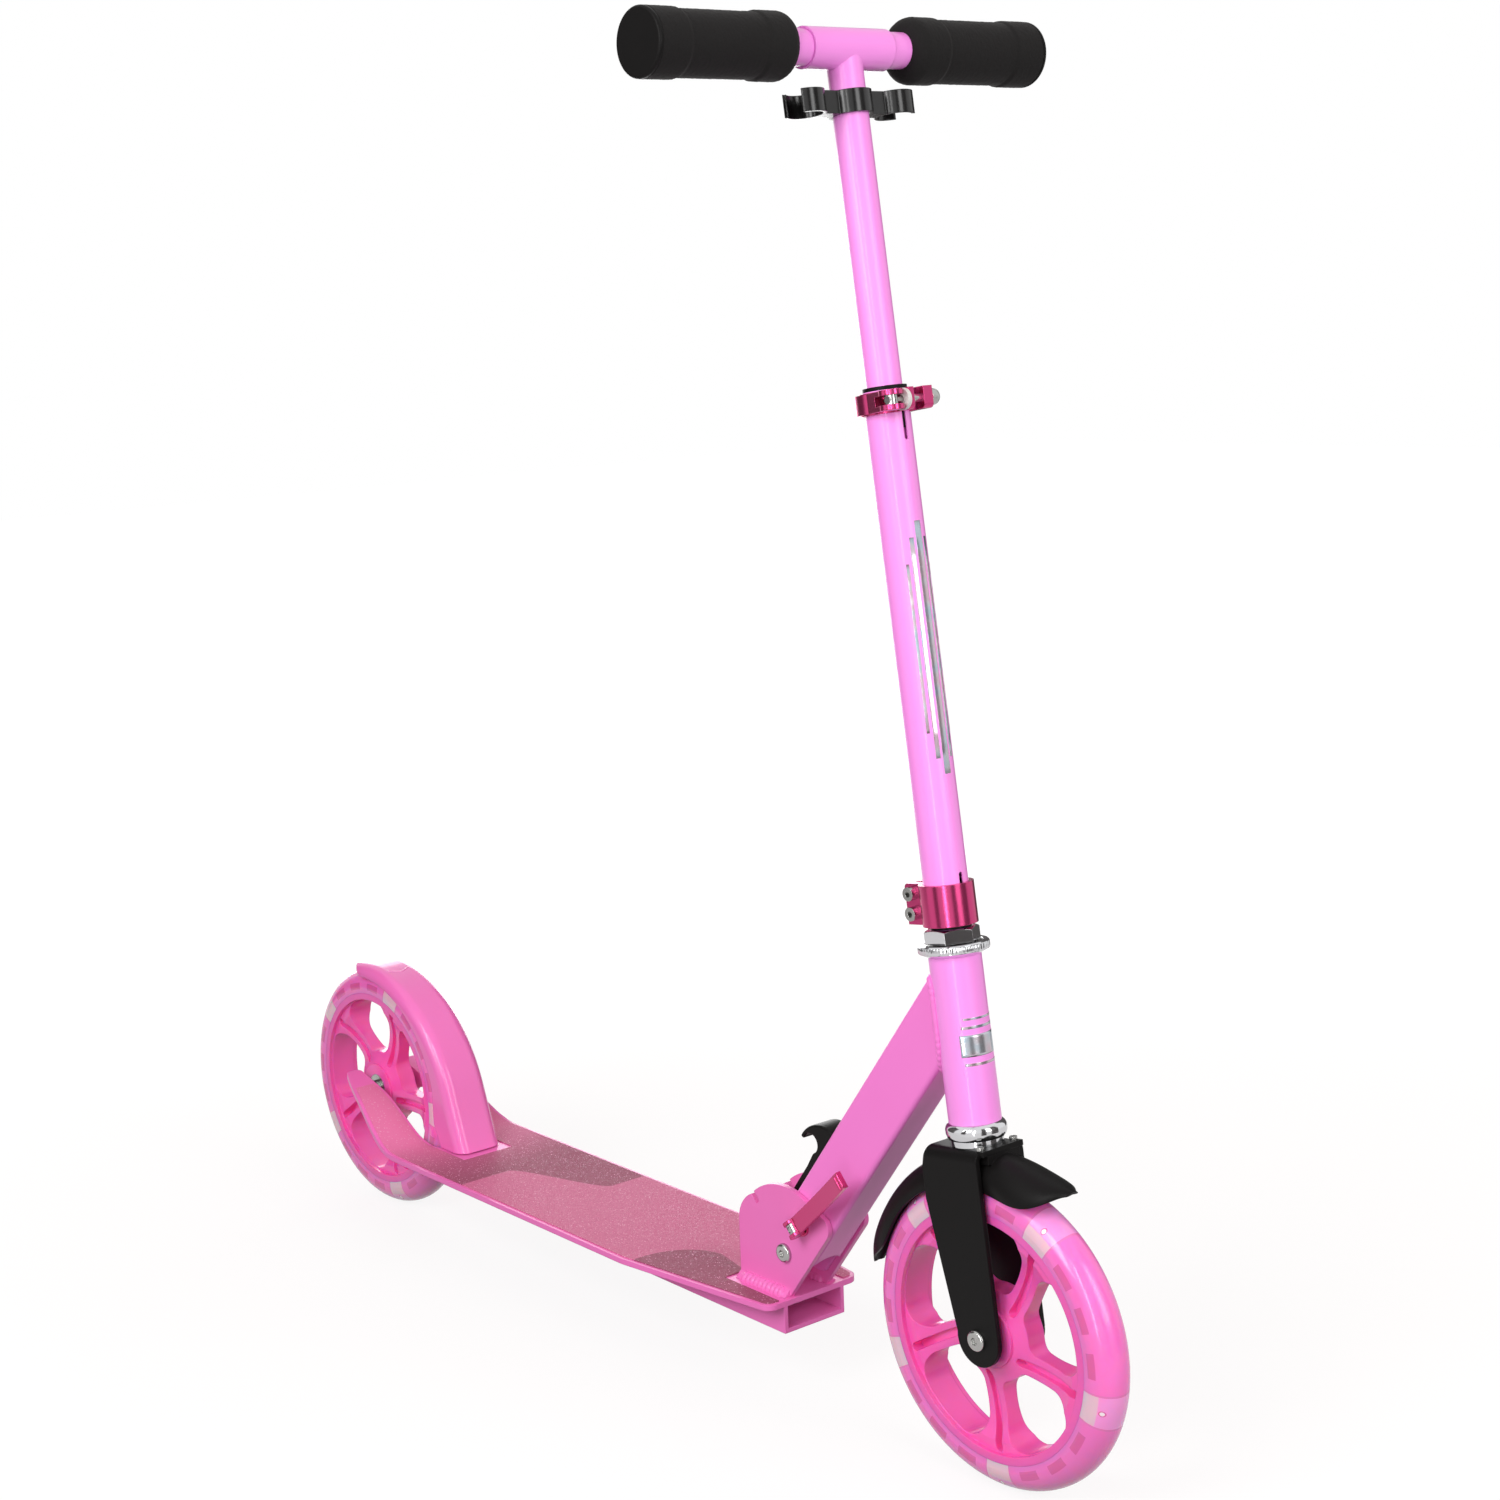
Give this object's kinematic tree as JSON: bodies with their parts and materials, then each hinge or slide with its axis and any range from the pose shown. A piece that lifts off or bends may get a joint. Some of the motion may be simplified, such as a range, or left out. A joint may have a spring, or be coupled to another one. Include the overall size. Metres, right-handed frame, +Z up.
{
  "type": "kick scooter",
  "caption": "Folding kick scooter with big spoked wheels, a flat deck with bent-up rear arms, a telescopic T-bar with pull-out foam grips and a rear fender brake.",
  "frame": {"origin": "on the ground, midway between the two wheel axles, in the plane of symmetry", "axes": "+X forward, +Y to the rider's left, +Z up"},
  "size_m": [0.91, 0.317, 0.9102],
  "materials": {
    "deck_paint": "gloss paint",
    "frame_paint": "gloss paint",
    "black_paint": "satin paint",
    "tape": "coarse sparkling grit",
    "anodised": "raspberry anodised",
    "chrome": "polished",
    "steel": "zinc plated",
    "black_plastic": "satin",
    "clip_plastic": "gloss",
    "white_plastic": "matte",
    "rim_plastic": "gloss",
    "tyre": "translucent cast urethane",
    "light": "clear",
    "fender_plastic": "gloss",
    "foam": "closed-cell foam"
  },
  "bodies": {
    "deck": {"deck": "deck_paint", "grip_tape": "tape", "hinge_plate_right": "deck_paint", "hinge_plate_left": "deck_paint", "hinge_bolt": "steel", "hinge_nut": "steel", "lock_stud": "steel", "lock_washer": "anodised", "lock_anchor": "steel", "lock_barrel": "steel", "rear_axle_bolt": "steel", "rear_axle_nut": "steel", "rear_spacers": "steel", "fender_pin": "steel"},
    "neck": {"down_tube": "frame_paint", "head_tube": "frame_paint", "upper_cup": "chrome", "upper_bearing": "steel", "lower_cup": "chrome", "lower_bearing": "steel"},
    "trigger": {"latch_trigger": "black_plastic"},
    "steering": {"fork": "black_paint", "crown_race": "chrome", "headset_nut": "chrome", "front_mudguard": "black_plastic", "mudguard_screws": "steel", "front_axle_bolt": "steel", "front_axle_nut": "steel", "front_spacers": "steel", "steering_tube": "frame_paint", "lower_clamp": "anodised", "clamp_bolts": "steel", "qr_collar": "anodised", "qr_bolt": "steel", "qr_nut": "steel", "qr_washer": "white_plastic", "qr_barrel": "steel", "tube_bush": "black_plastic"},
    "front_wheel": {"front_rim": "rim_plastic", "front_tyre": "tyre", "front_bearings": "steel", "front_lights": "light"},
    "rear_wheel": {"rear_rim": "rim_plastic", "rear_tyre": "tyre", "rear_bearings": "steel", "rear_lights": "light"},
    "fender": {"rear_fender": "fender_plastic"},
    "t_bar": {"t_bar": "frame_paint", "stowage_clip": "clip_plastic"},
    "bar_left": {"handlebar_left": "frame_paint", "grip_left": "foam", "end_cap_left": "black_plastic"},
    "bar_right": {"handlebar_right": "frame_paint", "grip_right": "foam", "end_cap_right": "black_plastic"},
    "qr_lever": {"qr_lever": "anodised"},
    "lock_lever": {"lock_lever": "anodised"}
  },
  "joints": [
    {"name": "fold", "type": "hinge", "parent": "deck", "child": "neck", "pos_m": [0.172, 0, 0.1045], "axis": [0, -1, 0], "range_deg": [0, 80]},
    {"name": "latch", "type": "slide", "parent": "neck", "child": "trigger", "axis": [0.6018, 0, 0.7986], "range_m": [0, 0.008], "stiffness_N_per_m": 300, "springref_m": -0.01},
    {"name": "steer", "type": "hinge", "parent": "neck", "child": "steering", "pos_m": [0.355, 0, 0.1], "axis": [-0.1392, 0, 0.9903], "continuous": true},
    {"name": "front_spin", "type": "hinge", "parent": "steering", "child": "front_wheel", "pos_m": [0.355, 0, 0.1], "axis": [0, 1, 0], "continuous": true},
    {"name": "rear_spin", "type": "hinge", "parent": "deck", "child": "rear_wheel", "pos_m": [-0.355, 0, 0.1], "axis": [0, 1, 0], "continuous": true},
    {"name": "brake", "type": "hinge", "parent": "deck", "child": "fender", "pos_m": [-0.233, 0, 0.083], "axis": [0, -1, 0], "range_deg": [0, 1.8], "stiffness_Nm_per_rad": 0.6, "springref_deg": -17.19},
    {"name": "bar_height", "type": "slide", "parent": "steering", "child": "t_bar", "axis": [-0.1392, 0, 0.9903], "range_m": [-0.11, 0]},
    {"name": "left_bar_pull", "type": "slide", "parent": "t_bar", "child": "bar_left", "axis": [0, 1, 0], "range_m": [0, 0.032]},
    {"name": "right_bar_pull", "type": "slide", "parent": "t_bar", "child": "bar_right", "axis": [0, -1, 0], "range_m": [0, 0.032]},
    {"name": "height_lever", "type": "hinge", "parent": "steering", "child": "qr_lever", "pos_m": [0.29637, -0.0171, 0.67887], "axis": [-0.1392, 0, 0.9903], "range_deg": [0, 100]},
    {"name": "fold_lever", "type": "hinge", "parent": "deck", "child": "lock_lever", "pos_m": [0.19005, -0.02555, 0.12846], "axis": [0.6561, 0, -0.7547], "range_deg": [0, 110]}
  ]
}
